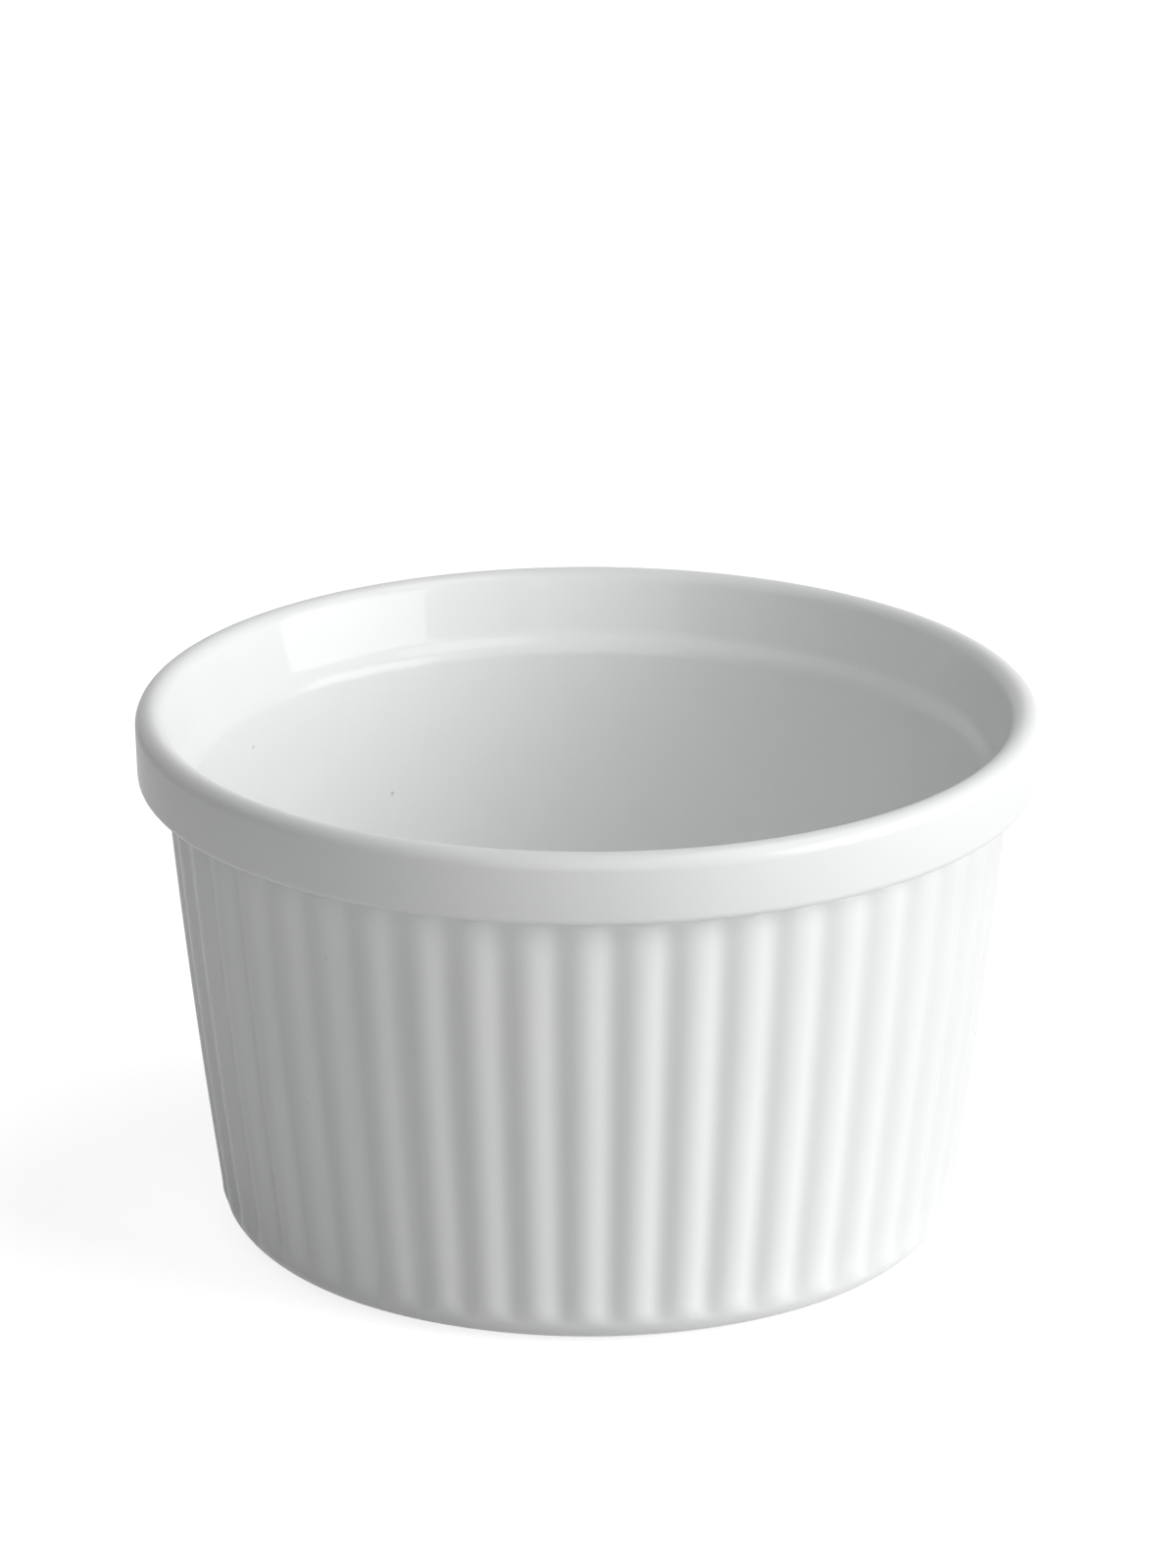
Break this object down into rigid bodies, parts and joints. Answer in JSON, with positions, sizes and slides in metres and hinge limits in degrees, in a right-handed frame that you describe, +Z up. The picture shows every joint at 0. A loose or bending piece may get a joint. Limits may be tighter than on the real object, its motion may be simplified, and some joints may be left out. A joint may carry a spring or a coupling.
{
  "type": "ramekin",
  "caption": "Round porcelain baking dish with a reeded outer wall, plain thick collar, ledge inside the rim and bare foot ring, for baking and serving small portions.",
  "frame": {"origin": "centre of the foot ring, on the surface that the dish stands on", "axes": "+Z up along the axis of the dish, towards the open rim; +X and +Y each pass through the crest of a rib"},
  "size_m": [0.1, 0.1, 0.06],
  "materials": {
    "clay": "matt fired porcelain, bare",
    "glaze": "gloss, white"
  },
  "bodies": {
    "root": {"porcelain_body": "clay", "glaze_coat": "glaze", "base_glaze": "glaze"}
  },
  "joints": []
}
